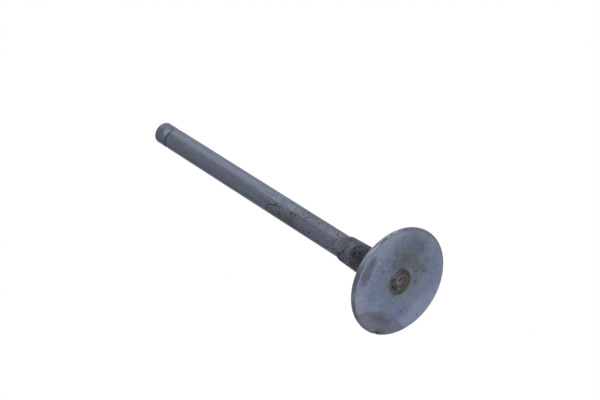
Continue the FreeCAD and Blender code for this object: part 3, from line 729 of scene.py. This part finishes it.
def finishStem():
    look = stemLook
    finish, tree = newFinish("groundValveSteel")
    place = add(tree, "ShaderNodeTexCoord").outputs["Object"]
    seen = add(tree, "ShaderNodeMapping", {"Vector": place, "Scale": (1 / mm, 1 / mm, 1 / mm)})
    wandering = wander(tree, seen, *look["fineWander"])
    parts, _, radius = fromAxis(tree, seen)
    height = parts["Z"]

    # Ground steel with long faint streaks.
    long = add(tree, "ShaderNodeMapping", {"Vector": seen, "Scale": (1, 1, look["streakStretch"])})
    streaks = grains(tree, long, *look["streaks"])
    colour = add(tree, "ShaderNodeMix", {"Factor": streaks, "A": linear(look["steel"]),
                 "B": linear(look["sheen"])}, **overlay)

    # Soot on the lower half, in blotches. It thins out up the stem.
    drawn = add(tree, "ShaderNodeMapping", {"Vector": seen, "Scale": (1, 1, look["blotchStretch"])})
    blotch = grains(tree, drawn, *look["blotch"])
    speck = grains(tree, seen, *look["speck"])
    sooty = add(tree, "ShaderNodeMapRange", zone(height, *look["sootZone"]))
    sootEdge = add(tree, "ShaderNodeMath", {0: blotch, 1: sooty}, operation="MULTIPLY")
    soot = add(tree, "ShaderNodeMapRange", zone(sootEdge, *look["sootLevel"]))
    colour = add(tree, "ShaderNodeMix", {"Factor": soot, "A": colour, "B": linear(look["soot"])}, **overlay)
    calm = grains(tree, seen, *look["calm"])
    # Tints, one of them painted shade on the lit side of the tip's land.
    for mark in look["tints"]:
        colour = stain(tree, wandering, colour, calm, onStem(stemRadius, *mark))

    # Specks and blotches in brightness, stronger where it is sooty, weak in one quiet patch.
    fleck = grains(tree, seen, *look["fleck"])
    twoSizes = add(tree, "ShaderNodeMath", {0: blotch, 1: speck}, operation="ADD")
    allSizes = add(tree, "ShaderNodeMath", {0: fleck, 1: look["fleckWeight"], 2: twoSizes},
                   operation="MULTIPLY_ADD")
    depth = add(tree, "ShaderNodeMapRange", zone(height, *look["unevenZone"]))
    quiet = cover(tree, wandering, calm, *onStem(stemRadius, *look["quiet"]))
    loud = add(tree, "ShaderNodeMath", {0: 1.0, 1: quiet}, operation="SUBTRACT")
    depthHere = add(tree, "ShaderNodeMath", {0: depth, 1: loud}, operation="MULTIPLY")
    colour = unevenly(tree, colour, allSizes, 2 + look["fleckWeight"], look["unevenness"], depthHere)
    for hues in look["hues"]:
        colour = swing(tree, seen, colour, *hues)

    for mark in look["marks"]:
        colour = stain(tree, wandering, colour, calm, onStem(stemRadius, *mark))
    for bends, width, strength, shade in look["scratches"]:
        for (fromAzimuth, fromUp), (toAzimuth, toUp) in zip(bends, bends[1:]):
            across = stemRadius * math.radians(toAzimuth - fromAzimuth)
            along = toUp - fromUp
            reach = math.hypot(across, along) / 2 + width
            scratch = onStem(stemRadius, (fromAzimuth + toAzimuth) / 2, (fromUp + toUp) / 2, width, reach,
                             0.5, strength, shade, lean=math.degrees(math.atan2(across, along)))
            colour = stain(tree, wandering, colour, speck, scratch)

    # Carbon crust in patches, nearly black by the head and paler where it has been rubbed.
    crustGrain = grains(tree, seen, *look["crustGrain"])
    patches = grains(tree, seen, *look["crustPatch"])
    crustSum = add(tree, "ShaderNodeMath", {0: crustGrain, 1: patches}, operation="ADD")
    crustLift = add(tree, "ShaderNodeMapRange", zone(height, *look["crustLift"]))
    crustLevel = add(tree, "ShaderNodeMath", {0: crustSum, 1: crustLift}, operation="ADD")
    crustTone = add(tree, "ShaderNodeMapRange", zone(crustLevel, *look["crustLevel"]))
    crust = add(tree, "ShaderNodeMix", {"Factor": crustTone, "A": linear(look["crustDark"]),
                "B": linear(look["crustPale"])}, **overlay)
    brown = add(tree, "ShaderNodeMapRange", zone(patches, *look["brownLevel"]))
    crust = add(tree, "ShaderNodeMix", {"Factor": brown, "A": crust, "B": linear(look["crustBrown"])},
                **overlay)
    grit = grains(tree, seen, *look["grit"])
    gritty = add(tree, "ShaderNodeMapRange", zone(height, *look["gritZone"]))
    crust = add(tree, "ShaderNodeMix", {"Factor": gritty, "A": crust, "B": grit}, **multiplied)
    crust = swing(tree, seen, crust, *look["crustHues"])
    for mark in look["neckMarks"]:
        crust = stain(tree, wandering, crust, crustGrain, onStem(look["neckRadius"], *mark))
    fray = add(tree, "ShaderNodeMapRange", zone(crustSum, 0, 2.0, -look["crustFray"], look["crustFray"]))
    crustEdge = add(tree, "ShaderNodeMath", {0: height, 1: fray}, operation="ADD")
    crusted = add(tree, "ShaderNodeMapRange", zone(crustEdge, *look["crustZone"]), **smooth)
    colour = add(tree, "ShaderNodeMix", {"Factor": crusted, "A": colour, "B": crust}, **overlay)

    # Keeper groove: painted shade on its floor and flanks, and a painted highlight on the lip towards the
    # tip.
    grooveMiddle = keeperGroove()[2]
    grooveHalf = shape["grooveWidth"] / 2
    flankFoot, flankTop = [grooveMiddle + grooveHalf * share for share in look["grooveFlank"]]
    flank = add(tree, "ShaderNodeMapRange", zone(height, flankFoot, flankTop))
    grooveShade = add(tree, "ShaderNodeMix", {"Factor": flank, "A": linear(look["grooveHeadSideShade"]),
                     "B": linear(look["grooveTipSideShade"])}, **overlay)
    fromMiddle = add(tree, "ShaderNodeMath", {0: height, 1: grooveMiddle}, operation="SUBTRACT")
    offMiddle = add(tree, "ShaderNodeMath", {0: fromMiddle}, operation="ABSOLUTE")
    byGroove = add(tree, "ShaderNodeMapRange", zone(offMiddle, grooveHalf + look["grooveEdge"],
                   grooveHalf - look["grooveEdge"], look["grooveShadeStrength"]))
    sunkFrom, sunkFull = [stemRadius - depth for depth in look["grooveSunk"]]
    sunk = add(tree, "ShaderNodeMapRange", zone(radius, sunkFrom, sunkFull))
    grooveShadeHere = add(tree, "ShaderNodeMath", {0: byGroove, 1: sunk}, operation="MULTIPLY")
    colour = add(tree, "ShaderNodeMix", {"Factor": grooveShadeHere, "A": colour, "B": grooveShade}, **overlay)
    for mark in look["grooveShadeAndHighlight"]:
        colour = stain(tree, seen, colour, calm, onStem(stemRadius, *mark))

    # Seat face rubbed bright by its ring, and the end of the tip by the rocker.
    onSeat = add(tree, "ShaderNodeMapRange", zone(height, *look["seatZone"]))
    fromTip = add(tree, "ShaderNodeVectorMath", {0: seen, 1: (0, 0, tipHeight)}, operation="DISTANCE")
    rubFrom, rubFull = [stemRadius * share for share in look["tipZone"]]
    onTip = add(tree, "ShaderNodeMapRange", zone(fromTip, rubFrom, rubFull, look["tipStrength"]), **smooth)
    for where, shade in ((onSeat, look["seat"]), (onTip, look["tipRub"])):
        colour = add(tree, "ShaderNodeMix", {"Factor": where, "A": colour, "B": linear(shade)}, **overlay)

    # The crust is dull and hardly metallic, and it is what stands out most.
    notSeat = add(tree, "ShaderNodeMath", {0: 1.0, 1: onSeat}, operation="SUBTRACT")
    crustOnly = add(tree, "ShaderNodeMath", {0: crusted, 1: notSeat}, operation="MULTIPLY")
    metal = add(tree, "ShaderNodeMapRange", zone(crustOnly, 0, 1, look["crustMetal"], look["metal"]))
    polish = add(tree, "ShaderNodeMapRange", zone(streaks, 0, 1, look["dull"], look["polished"]))
    dull = add(tree, "ShaderNodeMix", {"Factor": crustOnly, "A": polish, "B": look["crustDull"]},
               data_type="FLOAT")
    fine = add(tree, "ShaderNodeMath", {0: speck, 1: look["speckHeight"]}, operation="MULTIPLY")
    rough = add(tree, "ShaderNodeMath", {0: crustGrain, 1: crustOnly}, operation="MULTIPLY")
    relief = add(tree, "ShaderNodeMath", {0: rough, 1: look["crustHeight"], 2: fine},
                 operation="MULTIPLY_ADD")
    bump = add(tree, "ShaderNodeBump", {"Height": relief, "Distance": mm, "Strength": look["bump"]})
    surface = add(tree, "ShaderNodeBsdfPrincipled", {
        "Base Color": colour, "Metallic": metal, "Roughness": dull, "Normal": bump,
        "Specular IOR Level": look["specular"], "Specular Tint": look["specularTint"]})
    add(tree, "ShaderNodeOutputMaterial", {"Surface": surface})
    print("stem finish:", len(tree.nodes), "nodes")
    return finish


valve = turnValve(finishFace(), finishStem())
pressScars(valve)
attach(valve, "root")
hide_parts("valve")


studio = {
    "floorColour": "#E9E9EB",
    "floorSize": 4.0,            # metres
    "floorFade": (0.15, 0.9),    # metres from the middle to where it starts to pale and where it is white
    "floorDrop": 0.02,           # millimetres below the face, so that the two don't lie in one plane
    "ambient": 0.7,              # level of the world for all that is not mirrored
}


# Board with matt paint, pale so that the valve stands out. It goes to plain white far out.
def layFloor():
    half, drop = studio["floorSize"] / 2, -studio["floorDrop"] * mm
    mesh = bpy.data.meshes.new("floor")
    corners = [(-half, -half, drop), (half, -half, drop), (half, half, drop), (-half, half, drop)]
    mesh.from_pydata(corners, [], [(0, 1, 2, 3)])
    floor = bpy.data.objects.new("floor", mesh)
    bpy.context.scene.collection.objects.link(floor)
    finish, tree = newFinish("mattFloorPaint")
    place = add(tree, "ShaderNodeTexCoord").outputs["Object"]
    far = add(tree, "ShaderNodeVectorMath", {0: place}, operation="LENGTH")
    fade = add(tree, "ShaderNodeMapRange", zone(far, *studio["floorFade"]), **smooth)
    paint = add(tree, "ShaderNodeBsdfDiffuse", {"Color": linear(studio["floorColour"])})
    white = add(tree, "ShaderNodeEmission", {"Strength": 1.0})
    faded = add(tree, "ShaderNodeMixShader", {0: fade, 1: paint, 2: white})
    # Clear from below, because the photograph looks up at the valve's face.
    geometry = add(tree, "ShaderNodeNewGeometry").outputs
    clear = add(tree, "ShaderNodeBsdfTransparent")
    oneSided = add(tree, "ShaderNodeMixShader", {0: geometry["Backfacing"], 1: faded, 2: clear})
    add(tree, "ShaderNodeOutputMaterial", {"Surface": oneSided})
    mesh.materials.append(finish)
    floor.visible_diffuse = floor.visible_glossy = floor.visible_transmission = floor.visible_shadow = False


# White to the camera and in mirrors, and dimmer as a light.
def lightWorld():
    world = bpy.data.worlds.new("studio")
    bpy.context.scene.world = world
    world.use_nodes = True
    tree = world.node_tree
    tree.nodes.clear()
    path = add(tree, "ShaderNodeLightPath").outputs
    seen = add(tree, "ShaderNodeMath", {0: path["Is Camera Ray"], 1: path["Is Glossy Ray"]},
               operation="MAXIMUM")
    shown = add(tree, "ShaderNodeMath", {0: seen, 1: path["Is Transmission Ray"]}, operation="MAXIMUM")
    strength = add(tree, "ShaderNodeMapRange", zone(shown, 0, 1, 1.0, studio["ambient"]))
    background = add(tree, "ShaderNodeBackground", {"Color": (1, 1, 1, 1), "Strength": strength})
    add(tree, "ShaderNodeOutputWorld", {"Surface": background})


lampAim = (0, 0, 0.05)    # metres, part of the way up the stem
lamps = {
    # name: azimuth from -Y towards +X, elevation, distance m, width m, height m, level where 1 is white
    "key": (87, 24, 0.9, 2.3, 1.6, 1.25),           # bright band along one side of the stem
    "turn": (125, 30, 0.9, 1.2, 1.4, 0.6),          # carries that band round to the stem's edge
    "fill": (-35, 30, 0.9, 2.0, 1.4, 0.13),         # lifts the shaded side
    "step": (8, 43, 0.9, 0.5, 0.8, 0.2),            # a faint band between bright and shaded side
    "edge": (50, 43, 0.9, 0.45, 0.8, 0.25),         # a little more on the inner part of the bright band
    "front": (37, -45, 0.8, 0.9, 0.9, 0.2),         # the face, and the upper left of its rim
    "back": (215, 20, 1.0, 0.8, 1.4, 0.8),          # thin line down the shaded edge, and all of the back
    "lowRight": (95, -24, 0.9, 0.7, 0.55, 0.7),     # the face, and the top and right of its rim
    "lowLeft": (-65, -24, 0.9, 0.6, 0.55, 0.65),    # the left of the rim, and the edge of the tip
}


def hangLamp(name, azimuth, elevation, distance, width, height, level):
    data = bpy.data.lights.new(name, "AREA")
    data.shape = "RECTANGLE"
    data.size, data.size_y = width, height
    data.energy = level * math.pi * width * height
    lamp = bpy.data.objects.new(name, data)
    bpy.context.scene.collection.objects.link(lamp)
    a, e = math.radians(azimuth), math.radians(elevation)
    away = Vector((math.sin(a) * math.cos(e), -math.cos(a) * math.cos(e), math.sin(e)))
    lamp.location = Vector(lampAim) + away * distance
    lamp.rotation_mode = "QUATERNION"
    lamp.rotation_quaternion = away.to_track_quat("Z", "Y")
    lamp.visible_camera = False


cameraView = {
    "spot": (0, -0.42411, -0.38961),    # metres, below the level of the face
    "aim": (0.0048, 0, 0.05156),
    "roll": 58.04,                      # degrees, clockwise
    "lens": 123.84, "sensor": 36,
    "clip": (0.01, 20),
}


def placeCamera():
    data = bpy.data.cameras.new("camera")
    data.lens, data.sensor_width = cameraView["lens"], cameraView["sensor"]
    data.clip_start, data.clip_end = cameraView["clip"]
    camera = bpy.data.objects.new("camera", data)
    bpy.context.scene.collection.objects.link(camera)
    spot, aim = Vector(cameraView["spot"]), Vector(cameraView["aim"])
    level = (aim - spot).to_track_quat("-Z", "Y").to_matrix()
    rolled = level @ Matrix.Rotation(-math.radians(cameraView["roll"]), 3, "Z")
    camera.matrix_world = Matrix.Translation(spot) @ rolled.to_4x4()
    bpy.context.scene.camera = camera


layFloor()
lightWorld()
for lampName, numbers in lamps.items():
    hangLamp(lampName, *numbers)
placeCamera()
bpy.context.scene.view_settings.view_transform = "Standard"
print("stage, lamps and camera placed")
